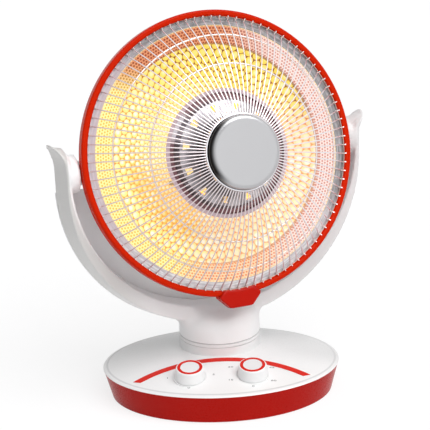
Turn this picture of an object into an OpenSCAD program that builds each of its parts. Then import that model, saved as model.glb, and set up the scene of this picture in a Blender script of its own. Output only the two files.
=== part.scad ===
/* [Head] */
// Outer diameter of the red rim hoop
rim_d = 360; // [340:1:380]
// Radial width of the hoop's front lip
rim_w = 8; // [7:0.5:10]
// Depth of the hoop from front to back
rim_depth = 14; // [13:0.5:18]
// Wall of the hoop
rim_wall = 2.8; // [2:0.2:3]
// Width of the clasp where it meets the hoop
clasp_w = 55; // [45:1:65]
// Width of the clasp's lower edge
clasp_foot_w = 28; // [20:1:40]
// How far the clasp stands out below the hoop
clasp_h = 14.5; // [12:0.5:15]
// Radial width of the reflector's plain flange
flange_w = 11; // [8:1:14]
// Radial width of the reflector's outer band
band_w = 21; // [18:1:25]
// Drop of the reflector's outer band
band_drop = 3; // [2:0.5:4]
// Step from the outer band down to the bowl
bowl_step = 8; // [6:1:10]
// Depth of the bowl below its step
bowl_depth = 46; // [40:1:48]
// Thickness of the reflector's sheet
sheet = 0.8; // [0.6:0.1:1.2]

/* [Grille] */
// Number of radial wires
wire_n = 96; // [72:12:108]
// Diameter of a radial wire
wire_d = 1.6; // [1.2:0.1:2]
// Height of the centre cap's bezel above the rim plane
grille_h = 83; // [76:1:86]
// Diameter of the chrome bezel round the centre cap
bezel_d = 96; // [88:1:104]
// Height of the centre cap above its bezel
cap_h = 10; // [6:0.5:12]
// Diameter of the ring wires under the grille
hoop_wire_d = 2.2; // [1.8:0.1:2.6]
// Radius of the inner ring wire
ring_in_r = 110; // [95:1:120]
// Radius of the outer ring wire
ring_out_r = 148; // [135:1:155]

/* [Heating element] */
// Outer diameter of the element guard
guard_d = 161; // [150:1:168]
// Height of the guard's flange above the rim plane
guard_z = 31; // [26:1:36]
// Rise of the guard's face above its flange
guard_rise = 13; // [9:1:16]
// Number of windows in the guard
window_n = 12; // [8:1:16]
// Radius of the circle of windows
window_r = 58; // [54:1:61]
// Size of one window
window_size = 8; // [5:0.5:9]
// Radius of the ring that the heating tube is bent to
tube_ring_r = 60; // [54:1:64]
// Outer diameter of the heating tube
tube_d = 11; // [9:0.5:13]
// Height of the heating tube above the rim plane
tube_z = 12; // [6:1:14]

/* [Yoke] */
// Height of the tilt axis above the floor
pivot_z = 311.5; // [306:0.5:320]
// Distance from the tilt axis forward to the rim plane
rim_ahead = 25; // [24:0.5:28]
// Gap between the hoop and the inner face of an arm
arm_gap = 12.4; // [11.6:0.2:15]
// Thickness of an arm's front edge
arm_t = 5.2; // [5:0.2:8]
// Depth of the yoke from its front edge to its back edge
yoke_depth = 34; // [32:1:38]
// Distance of the yoke's front edge ahead of the swivel axis
yoke_front = 22; // [20:1:22]
// Outward draft of the yoke from front edge to back edge
yoke_draft = 7.5; // [5:0.5:9]
// Thickness of the yoke at the bottom of the U
yoke_bottom_t = 20.5; // [18:0.5:24]
// Height of the arm tips above the tilt axis
tip_h = 35; // [30:1:40]
// Outward flare of the arm tips
tip_flare = 5; // [0:0.5:6]
// Diameter of the round bosses at the tilt axis
boss_d = 48; // [40:1:52]
// Reach of the yoke's back wall in from the arms
back_reach = 26; // [20:1:30]

/* [Neck] */
// Diameter of the neck
neck_d = 106.6; // [100:1:112]
// Height of the swivel seam above the floor
seam_z = 67.1; // [67:0.1:70]
// Height of the narrow band above the seam
band_h = 4.2; // [3:0.2:6]
// Radius of the neck's rounded shoulder
neck_round = 24; // [18:1:28]
// Radius of the fillet from the cover up to the collar
collar_flare = 3; // [2:0.5:3.5]

/* [Base] */
// Width of the oval base
base_w = 308; // [298:1:326]
// Depth of the oval base from front to back
base_l = 233.5; // [228:0.5:246]
// Distance of the base's middle ahead of the swivel axis
base_ahead = 25; // [22:0.5:27]
// Height of the red pan
pan_h = 36; // [34:1:40]
// Inward draft of the pan's wall
pan_draft = 9.8; // [5:0.1:12]
// Height that the rubber feet stand proud of the pan
foot_proud = 1.2; // [0.8:0.1:1.5]
// Rise of the cover's dome above its edge
dome_rise = 18; // [17:0.5:19.5]
// Radius of the cover's rounded edge
edge_round = 3.5; // [2:0.5:5]
// Slope of the knobs' seats
panel_slope = 10.5; // [9:0.5:12]
// Width of the red stripe
stripe_w = 9.2; // [7:0.2:10]
// Gap between the neck and the stripe
stripe_gap = 3.7; // [3.5:0.1:5]
// Radius of the stripe's curve seen from above
stripe_r = 203; // [190:1:220]

/* [Controls] */
// Diameter of a knob at its foot
knob_d = 39; // [34:0.5:42]
// Height of a knob
knob_h = 15; // [12:0.5:18]
// Distance of each knob from the middle
knob_x = 39.5; // [36:0.5:46]
// Distance of the knobs behind the cover's front edge
knob_in = 43.4; // [41:0.2:46]
// Outer diameter of a knob's red ring
ring_d = 31.8; // [27:0.2:33]
// Radial width of a knob's red ring
ring_w = 3.8; // [2:0.2:5]

/* [Swing drive] */
// Distance of the arm's pin from the swivel axis
arm_len = 26; // [24:0.5:28]
// Half of the swing that the motor gives
swing_half = 35; // [30:1:40]
// Distance of the motor's axis behind the swivel axis
motor_y = 47; // [46:1:52]
// Diameter of the motor
motor_d = 50; // [44:1:52]

/* [Rest pose] */
// Swivel angle at rest, from straight ahead
swivel_rest = 21; // [0:1:35]
// Backward tilt at rest, from upright
tilt_rest = 14.5; // [0:0.5:30]

/* [Shells and fits] */
// Wall of the moulded shells
wall = 2.4; // [2:0.2:3]
// Radial clearance of a running fit
run_fit = 0.05; // [0.03:0.01:0.08]
// Gap between two pieces that are fixed to each other
seat = 0.1; // [0.05:0.05:0.2]
// Gap between two pieces that move past each other
clear = 0.4; // [0.3:0.05:0.6]

/* [Hidden] */
$fn = 96;
over = 1;

// Colours as the object shows them
white = "whitesmoke";
red = "firebrick";
rim_red = "orangered";
steel = "silver";
chrome = "gainsboro";
dark = "dimgray";

// Base sizes
base_a = base_w / 2;
base_ratio = base_l / base_w;
pan_floor = 3.2;
base_b = base_l / 2;
cover_edge_z = foot_proud + pan_h;
edge_band = 1.2;
dome_top = cover_edge_z + edge_band + dome_rise;
dome_r = (pow(base_a, 2) + pow(dome_rise, 2)) / (2 * dome_rise);
dome_zc = dome_top - dome_r;
dome_n = 10;
stripe_half = 0.73 * base_a;
stripe_t = 0.5;
stripe_zc = -neck_d / 2 - stripe_gap - stripe_r;
stripe_end = stripe_zc + sqrt(pow(stripe_r, 2) - pow(stripe_half, 2));
stripe_cut_a = 26;
neck_r = neck_d / 2;
collar_z = seam_z - 0.3;
collar_plate = 3;
floor_top = foot_proud + pan_floor;
foot_r = 8;
foot_sink = 1.8;
foot_places = [[-78, -70], [78, -70], [-78, 70], [78, 70]];
post_places = [[-112, -42], [112, -42], [-112, 42], [112, 42]];
post_r = 4.5;
ballast_x = 0.53 * base_a;
post_rho = sqrt(pow(post_places[0][0], 2) + pow(post_places[0][1] / base_ratio, 2));
post_top = dome_z(post_rho) - 0.65 * wall;
fillet_r = neck_r + collar_flare;
fillet_front_z = dome_z((fillet_r - base_ahead) / base_ratio);
fillet_back_z = dome_z((fillet_r + base_ahead) / base_ratio);
fillet_z = (fillet_front_z + fillet_back_z) / 2;
fillet_tilt = -atan((fillet_front_z - fillet_back_z) / (2 * fillet_r));
screw_r = 1.6;
screw_head_r = 3;
screw_head_h = 2;

// Swing drive sizes
spindle_r = 9;
spindle_bore_r = 6.5;
bush_r = 13;
bush_len = 12;
crank_r = arm_len * sin(swing_half);
pin_r = 2.5;
eye_r = 6;
link_t = 2.4;
arm_plate = 3.5;
motor_h = 21;
motor_z = floor_top + seat;
hub_h = 2;
crank_z = motor_z + motor_h + hub_h + clear;
crank_t = 4;
link_z = crank_z + crank_t + clear;
arm_z = link_z + link_t + 2 * clear + 1.6;
arm_pin_z = link_z + link_t + clear;
spindle_bottom = arm_z;
shaft_r = 3.5;
shaft_sink = 12;
arm_pin = [-arm_len * cos(swivel_rest), -arm_len * sin(swivel_rest)];
crank_c = [-arm_len, motor_y];
crank_rest = -asin(arm_len * sin(swivel_rest) / crank_r);
crank_pin = crank_c + crank_r * [cos(crank_rest), sin(crank_rest)];

// Controls
knob_y = base_b + base_ahead - knob_in;
knob_rho = sqrt(pow(knob_x, 2) + pow((knob_y - base_ahead) / base_ratio, 2));
panel_z = dome_z(knob_rho);
panel_t = wall;
pad_r = knob_d / 2 + 1.5;
pad_depth = 8;
knob_low = 0.6;
switch_neck_r = 5;
knob_shaft_r = 3;
switch_body = [26, 26, 16];
nut_h = 2;
nut_r = 8;
inlay = 1;

// Tip-over switch
tip_place = [0, -72];
plunger_r = 3.5;
plunger_foot_r = 7;
tip_travel = 4;
tip_body = [24, 14, 16];

// Cord gland at the rear of the pan
gland_z = 19;
gland_y = base_b - base_ahead - 1.5;
gland_bore_r = 3.6;
gland_neck_r = 6;
gland_flange_r = 9;
gland_pad_r = 12;
gland_wall = 3;

// Head sizes
rim_r = rim_d / 2;
rim_front = rim_depth / 2;
rim_back = -rim_depth / 2;
rim_in_r = rim_r - rim_w;
channel_r = rim_r - rim_wall;
lip_round = 3;
housing_t = 2.2;
reflector_r = channel_r - 0.5;
flange_in_r = reflector_r - 4.5 - flange_w;
bowl_r = flange_in_r - band_w;
bowl_z = -band_drop - bowl_step;
bowl_hole_r = 20;
bowl_sphere = (pow(bowl_r, 2) - pow(bowl_hole_r, 2) + pow(bowl_depth, 2)) / (2 * bowl_depth);
bowl_s = sqrt(pow(bowl_sphere, 2) + pow(bowl_hole_r, 2));
bowl_zc = bowl_z - bowl_depth + bowl_sphere;
bowl_floor = bowl_z - bowl_depth;
housing_back = bowl_floor - 20;
housing_r = reflector_r - 8;
back_r = 70;
housing_flange = 3;
housing_top = -sheet - seat;
housing_seat = housing_top - housing_flange;
housing_drop = housing_seat - housing_back;
housing_k = (pow(housing_r, 2) - pow(back_r, 2) + pow(housing_drop, 2)) / (2 * housing_drop);
housing_s = sqrt(pow(housing_k, 2) + pow(back_r, 2));
housing_zc = housing_back + housing_k;
vent_n = 36;
vent_w = 4;
vent_in_r = 90;
vent_out_r = 128;
terminal_r = 58;
terminal_h = 14;
screw_ring_r = 46;
screw_turns = [90, 210, 330];

// Grille sizes
wire_base_r = rim_in_r - 1.8;
wire_base_z = 2;
bezel_r = bezel_d / 2;
bezel_in_r = bezel_r - 2.6;
grille_zc = (pow(bezel_r, 2) - pow(wire_base_r, 2) + pow(grille_h, 2) - pow(wire_base_z, 2))
  / (2 * (grille_h - wire_base_z));
grille_s = sqrt(pow(wire_base_r, 2) + pow(wire_base_z - grille_zc, 2));
wire_end_a = asin((wire_base_r + 0.8) / grille_s);
wire_start_a = asin((bezel_r + seat) / grille_s);
ring_s = grille_s - (wire_d + hoop_wire_d) / 2 - seat / 2;

// Heating element sizes
guard_r = guard_d / 2;
glass_t = 1.2;
filament_d = 3.4;
tube_gap_a = 16;
post_out_r = 16;

// Pivot sizes
hub_r = 15;
pivot_pin_r = 6;
arm_in_x = rim_r + arm_gap;
boss_face_x = rim_r + 1;
washer_t = 1.2;
hub_face_x = boss_face_x - washer_t - 2 * seat;
boss_r = boss_d / 2;
yoke_back = yoke_front - yoke_depth;
outer_front_r = arm_in_x + arm_t;
outer_back_r = outer_front_r + yoke_draft;
inner_zc = pivot_z - 4.5;
inner_low = inner_zc - arm_in_x;
outer_zc = inner_low - yoke_bottom_t + outer_front_r;
cover_t = 2.4;
tip_z = pivot_z + tip_h;
tip_drop = 17;
flare_len = 14;
yoke_screw_r = arm_in_x + 6.2;
yoke_screw_turns = [-150, -120, -60, -30];

function draft_x(f) = outer_front_r + yoke_draft * (yoke_front - f) / yoke_depth;

// Height of the bowl's inner surface at radius r
function bowl_at(r) = bowl_zc - sqrt(pow(bowl_s, 2) - pow(r, 2));

module oval() {
  base_frame() scale([1, base_ratio, 1]) children();
}

// Origin on the floor under the middle of the base
module base_frame() {
  translate([0, -base_ahead, 0]) children();
}

// x right, y back, z up, turned with the neck
module neck_frame() {
  rotate([0, 0, swivel_rest]) children();
}

// x right, y up, z forward, origin on the swivel axis at height z0
module front_view(z0) {
  translate([0, 0, z0]) rotate([90, 0, 0]) children();
}

// x right, y up, z forward, origin at the centre of the rim plane
module head_frame() {
  neck_frame() translate([0, 0, pivot_z]) rotate([-tilt_rest, 0, 0])
    translate([0, -rim_ahead, 0]) rotate([90, 0, 0]) children();
}

// z out of the panel at one knob's axis
module knob_frame(side) {
  translate([side * knob_x, -knob_y, panel_z]) rotate([panel_slope, 0, 0]) children();
}

module ring(r_out, r_in, h) {
  difference() {
    cylinder(r = r_out, h = h);
    translate([0, 0, -over]) cylinder(r = r_in, h = h + 2 * over);
  }
}

module screw(len) {
  cylinder(r = screw_r, h = len);
  translate([0, 0, -screw_head_h]) cylinder(r = screw_head_r, h = screw_head_h);
}

// Height of the dome at elliptical radius r
function dome_z(r) = dome_zc + sqrt(pow(dome_r, 2) - pow(r, 2));

// Section of the cover's dome, drawn inwards by t
module dome_section(t) {
  last = base_a - edge_round;
  last_z = dome_z(last);
  drop = last_z - cover_edge_z - 0.3 * edge_band;
  low = cover_edge_z - 3 * over;
  polygon(concat([[0, low]],
    [for (i = [0:dome_n]) [last * i / dome_n, dome_z(last * i / dome_n) - t]],
    [[base_a - t - 0.3 * edge_round, last_z - 0.45 * drop - t], [base_a - t, last_z - drop - t], [base_a - t, low]]));
}

// Dome and collar up to height top, drawn inwards by t
module cover_solid(t, top) {
  oval() rotate_extrude() dome_section(t);
  translate([0, 0, cover_edge_z]) cylinder(r = neck_r - t, h = top - cover_edge_z);
}

// Fillet round the collar's foot, tilted with the dome
module collar_fillet() {
  bite = 0.25;
  r = collar_flare;
  translate([0, 0, fillet_z - 3 * bite]) rotate([fillet_tilt, 0, 0]) rotate_extrude() polygon(concat(
    [[neck_r - over, -r], [neck_r + 0.8 * r, -r]],
    [for (a = [262:-18.5:188]) [neck_r + r - bite + r * cos(a), r + r * sin(a)]],
    [[neck_r - over, 0.8 * r]]));
}

// Round plugs on both knobs' axes, from height z0 to z1 above the knobs' seats
module knob_plugs(r, z0, z1) {
  for (s = [-1, 1]) knob_frame(s) translate([0, 0, z0]) cylinder(r = r, h = z1 - z0);
}

module stripe_plan() {
  far = base_w;
  slope = tan(stripe_cut_a);
  intersection() {
    translate([0, stripe_zc]) difference() {
      circle(r = stripe_r, $fn = 180);
      circle(r = stripe_r - stripe_w, $fn = 180);
    }
    polygon([[-far, 0], [-far, stripe_end + (far - stripe_half) * slope], [0, stripe_end - stripe_half * slope],
      [far, stripe_end + (far - stripe_half) * slope], [far, 0]]);
  }
}

module base_pan() {
  color(red) difference() {
    union() {
      difference() {
        oval() rotate_extrude() polygon([[0, foot_proud - over], [base_a - pan_draft - 0.3, foot_proud - over],
          [base_a - 0.4, cover_edge_z], [0, cover_edge_z]]);
        oval() rotate_extrude() polygon([[0, floor_top], [base_a - pan_draft - 2, floor_top],
          [base_a - 0.4 - wall - 0.4, cover_edge_z + over], [0, cover_edge_z + over]]);
      }
      intersection() {
        translate([0, gland_y - 10, gland_z]) rotate([-90, 0, 0]) cylinder(r = gland_pad_r, h = 10);
        translate([-base_a, 0, foot_proud]) cube([base_w, base_l, cover_edge_z - foot_proud - over]);
      }
    }
    translate([-base_w, -base_w, -over * 10]) cube([2 * base_w, 2 * base_w, foot_proud + over * 10]);
    base_frame() {
      for (p = foot_places) translate([p[0], p[1], 0]) cylinder(r = foot_r + seat, h = foot_proud + foot_sink);
      for (p = post_places) {
        translate([p[0], p[1], 0]) cylinder(r = screw_r + seat, h = 10);
        translate([p[0], p[1], 0]) cylinder(r = screw_head_r + seat, h = foot_proud + screw_head_h);
      }
    }
    translate([tip_place[0], tip_place[1], 0]) {
      cylinder(r = plunger_r + 3 * run_fit, h = 10);
      cylinder(r = plunger_foot_r + clear, h = foot_proud + 1.2);
    }
    translate([0, gland_y - gland_wall - 30, gland_z]) rotate([-90, 0, 0]) cylinder(r = gland_pad_r, h = 30);
    translate([0, gland_y - 20, gland_z]) rotate([-90, 0, 0]) cylinder(r = gland_neck_r + seat, h = 40);
  }
}

module base_feet() {
  color(dark) base_frame() for (p = foot_places) translate([p[0], p[1], 0]) {
    cylinder(r1 = foot_r - 1, r2 = foot_r, h = foot_proud);
    translate([0, 0, foot_proud]) cylinder(r = foot_r, h = foot_sink - seat);
  }
}

module pan_screws() {
  color(steel) base_frame() for (p = post_places)
    translate([p[0], p[1], foot_proud + screw_head_h - seat]) screw(16);
}

module ballast_weights() {
  size = [44, 62, 12];
  color(dark) base_frame() for (s = [-1, 1])
    translate([s * ballast_x - size[0] / 2, -size[1] / 2, floor_top + seat]) cube(size);
}

module top_cover() {
  color(white) difference() {
    union() {
      difference() {
        union() {
          cover_solid(0, collar_z);
          collar_fillet();
          knob_plugs(pad_r, -pad_depth, 0);
        }
        knob_plugs(pad_r, 0, pad_depth);
        difference() {
          cover_solid(wall, collar_z - collar_plate);
          knob_plugs(pad_r + wall, -panel_t, pad_depth);
        }
        knob_plugs(pad_r - wall / 2, -3 * pad_depth, -panel_t);
        translate([-base_w, -base_w, cover_edge_z - 10 * over]) cube([2 * base_w, 2 * base_w, 10 * over]);
      }
      base_frame() for (p = post_places)
        translate([p[0], p[1], floor_top + seat]) cylinder(r = post_r, h = post_top - floor_top - seat);
    }
    base_frame() for (p = post_places) translate([p[0], p[1], 0]) cylinder(r = screw_r + seat, h = floor_top + 18);
    knob_plugs(switch_neck_r + seat, -20, 20);
    translate([0, 0, collar_z - 20]) cylinder(r = bush_r + seat, h = 40);
  }
}

module accent_stripe() {
  color(red) intersection() {
    linear_extrude(height = seam_z) stripe_plan();
    difference() {
      translate([0, 0, stripe_t]) cover_solid(0, collar_z);
      translate([0, 0, seat]) cover_solid(0, collar_z);
    }
  }
}

module swivel_bush() {
  flange_r = 20;
  flange_t = 2.5;
  color(white) difference() {
    union() {
      translate([0, 0, collar_z - bush_len]) cylinder(r = bush_r, h = bush_len);
      translate([0, 0, collar_z - collar_plate - flange_t]) cylinder(r = flange_r, h = flange_t);
    }
    translate([0, 0, collar_z - bush_len - over]) cylinder(r = spindle_r + run_fit, h = bush_len + 2 * over);
  }
}

module swing_motor() {
  gearbox_r = 10;
  ear_x = motor_d / 2 + 4;
  color(steel) translate([crank_c[0], crank_c[1], motor_z]) difference() {
    union() {
      cylinder(r = motor_d / 2, h = motor_h);
      cylinder(r = gearbox_r, h = motor_h + hub_h);
      for (s = [-1, 1]) translate([s * ear_x, 0, 0]) cylinder(r = 5, h = 2);
      translate([-ear_x, -5, 0]) cube([2 * ear_x, 10, 2]);
    }
    translate([0, 0, motor_h + hub_h - shaft_sink]) cylinder(r = shaft_r + run_fit, h = shaft_sink + over);
    for (s = [-1, 1]) translate([s * ear_x, 0, -over]) cylinder(r = screw_r + seat, h = 4);
  }
}

// Flat bar from p to q with a round eye at each end
module bar_plan(p, q, p_r, q_r, w) {
  gap = q - p;
  translate(p) circle(r = p_r);
  translate(q) circle(r = q_r);
  translate(p) rotate(atan2(gap[1], gap[0])) translate([0, -w / 2]) square([norm(gap), w]);
}

module swing_crank() {
  web_r = 9;
  color(steel) {
    translate([crank_c[0], crank_c[1], crank_z - shaft_sink]) cylinder(r = shaft_r, h = shaft_sink + over);
    translate([0, 0, crank_z]) linear_extrude(height = crank_t) bar_plan(crank_c, crank_pin, web_r, eye_r, 9);
    translate([crank_pin[0], crank_pin[1], crank_z + over]) cylinder(r = pin_r, h = crank_t + clear + link_t - over);
  }
}

module swing_link() {
  color(chrome) translate([0, 0, link_z]) linear_extrude(height = link_t) difference() {
    bar_plan(arm_pin, crank_pin, eye_r, eye_r, 7);
    for (p = [arm_pin, crank_pin]) translate(p) circle(r = pin_r + run_fit);
  }
}

module swing_arm() {
  hub_out_r = 14;
  color(steel) {
    translate([0, 0, arm_z]) linear_extrude(height = arm_plate) difference() {
      bar_plan([0, 0], arm_pin, hub_out_r, eye_r, 9);
      circle(r = spindle_r + seat);
    }
    translate([arm_pin[0], arm_pin[1], arm_pin_z]) cylinder(r = pin_r, h = arm_z - arm_pin_z + over);
  }
}

module swivel_plate() {
  spigot_r = neck_r - wall - seat;
  color(white) difference() {
    union() {
      translate([0, 0, seam_z + clear]) cylinder(r = neck_r, h = band_h - clear);
      translate([0, 0, seam_z + clear]) cylinder(r = spigot_r, h = band_h + 3);
    }
    translate([0, 0, seam_z + band_h]) cylinder(r = spigot_r - wall, h = 10);
    translate([0, 0, seam_z]) cylinder(r = spindle_r + seat, h = 10);
  }
}

module slip_washer() {
  color(white) translate([0, 0, collar_z + seat]) ring(neck_r - 6, bush_r + 2, seam_z + clear - collar_z - 2 * seat);
}

module swivel_spindle() {
  flange_r = 20;
  flange_t = 3;
  groove_z = collar_z - bush_len - 2.2;
  color(steel) difference() {
    union() {
      translate([0, 0, spindle_bottom]) cylinder(r = spindle_r, h = seam_z + band_h + 12 - spindle_bottom);
      translate([0, 0, seam_z + band_h + seat]) cylinder(r = flange_r, h = flange_t);
    }
    translate([0, 0, spindle_bottom - over]) cylinder(r = spindle_bore_r, h = 90);
    translate([0, 0, groove_z]) ring(spindle_r + over, spindle_r - 1, 1.6);
  }
}

module retaining_clip() {
  clip_r = bush_r - 0.5;
  color(dark) translate([0, 0, collar_z - bush_len - 2.2 + seat]) difference() {
    ring(clip_r, spindle_r - 1 + seat, 1.6 - 2 * seat);
    translate([-3.5, -clip_r - over, -over]) cube([7, clip_r, 4]);
  }
}

// Solid U of the yoke: reach is how far its surfaces are drawn in from the true ones
module yoke_u(t) {
  front = yoke_front - t;
  r_front = outer_front_r - t;
  r_back = outer_back_r - t;
  intersection() {
    front_view(outer_zc) translate([0, 0, yoke_back]) cylinder(r1 = r_back, r2 = r_front, h = front - yoke_back, $fn = 180);
    translate([-base_w, -base_w, 0]) cube([2 * base_w, 2 * base_w, outer_zc + 0.01]);
  }
  for (s = [-1, 1]) arm_post(s, t);
}

module arm_post(s, t) {
  z0 = outer_zc;
  straight_z = tip_z - flare_len;
  f = yoke_front - t;
  translate([0, 0, z0]) linear_extrude(height = straight_z - z0 + 2) polygon([
    [s * (arm_in_x - over), -f], [s * (draft_x(yoke_front) - t), -f],
    [s * (draft_x(yoke_back) - t), -yoke_back], [s * (arm_in_x - over), -yoke_back]]);
  lean = atan(tip_flare / flare_len);
  translate([s * (draft_x(yoke_back) - t), 0, straight_z]) rotate([0, s * lean, 0])
    translate([-s * (draft_x(yoke_back) - t), 0, -7]) linear_extrude(height = 36) polygon([
      [s * (arm_in_x - over), -f], [s * (draft_x(yoke_front) - t), -f],
      [s * (draft_x(yoke_back) - t), -yoke_back], [s * (arm_in_x - over), -yoke_back]]);
}

// Space inside the U, grown by t into the yoke's wall
module yoke_bore(t) {
  front_view(inner_zc) translate([0, 0, -base_w]) cylinder(r = arm_in_x + t, h = 2 * base_w, $fn = 180);
  translate([-arm_in_x - t, -base_w, inner_zc]) cube([2 * (arm_in_x + t), 2 * base_w, 200]);
}

// Slanting cut across the arm tips
module tip_cut(t) {
  low_z = tip_z - tip_drop;
  rise = atan(tip_drop / yoke_depth);
  translate([-base_w, -yoke_front, low_z - t]) rotate([rise, 0, 0])
    translate([0, -60, 0]) cube([2 * base_w, 160, 100]);
  translate([-base_w, -yoke_front - 6, low_z - 9 - t]) rotate([62, 0, 0])
    translate([0, -4, 0]) cube([2 * base_w, 60, 40]);
}

module neck_post(t) {
  top = inner_low - 1 - t;
  rotate_extrude() intersection() {
    union() {
      square([neck_r - t, top - neck_round]);
      square([neck_r - neck_round, top]);
      translate([neck_r - neck_round, top - neck_round]) circle(r = neck_round - t);
    }
    translate([0, seam_z + band_h + seat - (t > 0 ? 10 : 0)]) square([neck_r, 200]);
  }
}

module yoke_shell() {
  color(white) neck_frame() difference() {
    union() {
      difference() {
        union() {
          yoke_u(0);
          neck_post(0);
        }
        yoke_bore(0);
        tip_cut(0);
      }
      for (s = [-1, 1]) translate([s * boss_face_x, 0, pivot_z]) rotate([0, s * 90, 0])
        cylinder(r = boss_r, h = arm_gap - 1 + 2);
    }
    difference() {
      union() {
        intersection() {
          yoke_u(wall);
          translate([-base_w, -base_w, 0]) cube([2 * base_w, 2 * base_w, tip_z - 40]);
        }
        neck_post(wall);
      }
      yoke_bore(wall);
      at_yoke_screws() cylinder(r = post_r, h = 8);
      for (s = [-1, 1]) translate([s * arm_in_x, 0, pivot_z]) rotate([0, s * 90, 0]) cylinder(r = boss_r, h = 40);
    }
    for (s = [-1, 1]) translate([s * (boss_face_x - over), 0, pivot_z]) rotate([0, s * 90, 0])
      cylinder(r = pivot_pin_r + seat, h = arm_gap);
    at_yoke_screws() translate([0, 0, -over]) cylinder(r = screw_r + seat, h = 10);
  }
}

// Places of the rear cover's screws, z forward from the yoke's back edge
module at_yoke_screws() {
  front_view(pivot_z) for (a = yoke_screw_turns)
    translate([yoke_screw_r * cos(a), yoke_screw_r * sin(a), yoke_back]) children();
}

module yoke_rear_cover() {
  top = pivot_z - boss_r - 1;
  color(white) neck_frame() difference() {
    intersection() {
      front_view(outer_zc) translate([0, 0, yoke_back - cover_t - seat]) cylinder(r = outer_back_r, h = cover_t, $fn = 180);
      translate([-base_w, -base_w, 0]) cube([2 * base_w, 2 * base_w, top]);
    }
    front_view(pivot_z) translate([0, 0, yoke_back - 20]) cylinder(r = arm_in_x - back_reach, h = 40, $fn = 180);
    neck_post(-seat);
    at_yoke_screws() translate([0, 0, -10]) cylinder(r = screw_r + seat, h = 20);
  }
}

module yoke_screws() {
  color(steel) neck_frame() at_yoke_screws() translate([0, 0, -cover_t - 2 * seat]) screw(8);
}

module pivot_pins() {
  color(steel) neck_frame() for (s = [-1, 1]) translate([s * (hub_face_x - 14), 0, pivot_z]) rotate([0, s * 90, 0])
    cylinder(r = pivot_pin_r, h = arm_in_x - hub_face_x + 12);
}

module pivot_washers() {
  color(dark) neck_frame() for (s = [-1, 1]) translate([s * (hub_face_x + seat), 0, pivot_z]) rotate([0, s * 90, 0])
    ring(hub_r - 1, pivot_pin_r + seat, washer_t);
}

module rim_ring() {
  color(rim_red) head_frame() rotate_extrude($fn = 240) difference() {
    union() {
      translate([rim_in_r, rim_back]) square([rim_w, rim_depth - lip_round]);
      translate([rim_in_r + lip_round, rim_back]) square([rim_w - 2 * lip_round, rim_depth]);
      translate([rim_in_r + lip_round, rim_front - lip_round]) circle(r = lip_round);
      translate([rim_r - lip_round, rim_front - lip_round]) circle(r = lip_round);
    }
    translate([rim_in_r - over, housing_seat - seat]) square([channel_r - rim_in_r + over, 3 - housing_seat + seat]);
  }
}

module rim_clasp() {
  top_y = -rim_r + 1.5;
  grip = 4;
  back = rim_back + 1;
  front = rim_front + 3;
  color(rim_red) head_frame() difference() {
    union() {
      difference() {
        translate([0, 0, back]) linear_extrude(height = front - back - grip) clasp_plan(top_y + 12);
        translate([0, 0, -20]) cylinder(r = rim_r + seat, h = 60, $fn = 240);
      }
      difference() {
        hull() {
          translate([0, 0, front - grip]) linear_extrude(height = 0.1) clasp_plan(top_y);
          translate([0, 0, front - 0.1]) linear_extrude(height = 0.1) offset(delta = -2.5) clasp_plan(top_y);
        }
        translate([0, 0, -20]) cylinder(r = rim_r + seat, h = 20 + rim_front + seat, $fn = 240);
      }
    }
    translate([-60, -rim_r - clasp_h / 2, 0]) rotate([0, 90, 0]) cylinder(r = 2 + seat, h = 120);
  }
}

module clasp_plan(top_y) {
  polygon([[-clasp_w / 2, top_y], [-clasp_w / 2, -rim_r - 0.5], [-clasp_foot_w / 2, -rim_r - clasp_h],
    [clasp_foot_w / 2, -rim_r - clasp_h], [clasp_w / 2, -rim_r - 0.5], [clasp_w / 2, top_y]]);
}

module clasp_screw() {
  color(steel) head_frame() translate([-12, -rim_r - clasp_h / 2, 0]) rotate([0, 90, 0]) cylinder(r = 2, h = 24);
}

module reflector() {
  color(chrome) head_frame() rotate_extrude($fn = 240) {
    translate([flange_in_r, -sheet]) square([reflector_r - flange_in_r, sheet]);
    polygon([[flange_in_r + sheet, 0], [bowl_r, -band_drop], [bowl_r, -band_drop - sheet],
      [flange_in_r + sheet, -sheet]]);
    translate([bowl_r - sheet, bowl_z - sheet]) square([sheet, bowl_step + sheet]);
    difference() {
      intersection() {
        translate([0, bowl_zc]) circle(r = bowl_s + sheet, $fn = 720);
        translate([bowl_hole_r, bowl_floor - 5 * sheet]) square([bowl_r - bowl_hole_r, bowl_depth + 5 * sheet]);
      }
      translate([0, bowl_zc]) circle(r = bowl_s, $fn = 720);
    }
  }
}

// Closed solid of the housing's bowl, grown by t
module housing_bowl(t) {
  rotate_extrude($fn = 240) intersection() {
    translate([0, housing_zc]) circle(r = housing_s + t, $fn = 720);
    translate([0, housing_back]) square([housing_r + t, housing_seat - housing_back]);
  }
}

module pivot_hubs() {
  hub_z = -rim_ahead;
  color(white) head_frame() difference() {
    for (s = [-1, 1]) translate([s * hub_face_x, 0, hub_z]) rotate([0, -s * 90, 0]) cylinder(r = hub_r, h = 44);
    housing_bowl(seat);
    for (s = [-1, 1]) translate([s * (hub_face_x + over), 0, hub_z]) rotate([0, -s * 90, 0])
      cylinder(r = pivot_pin_r + run_fit, h = 16);
  }
}

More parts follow.
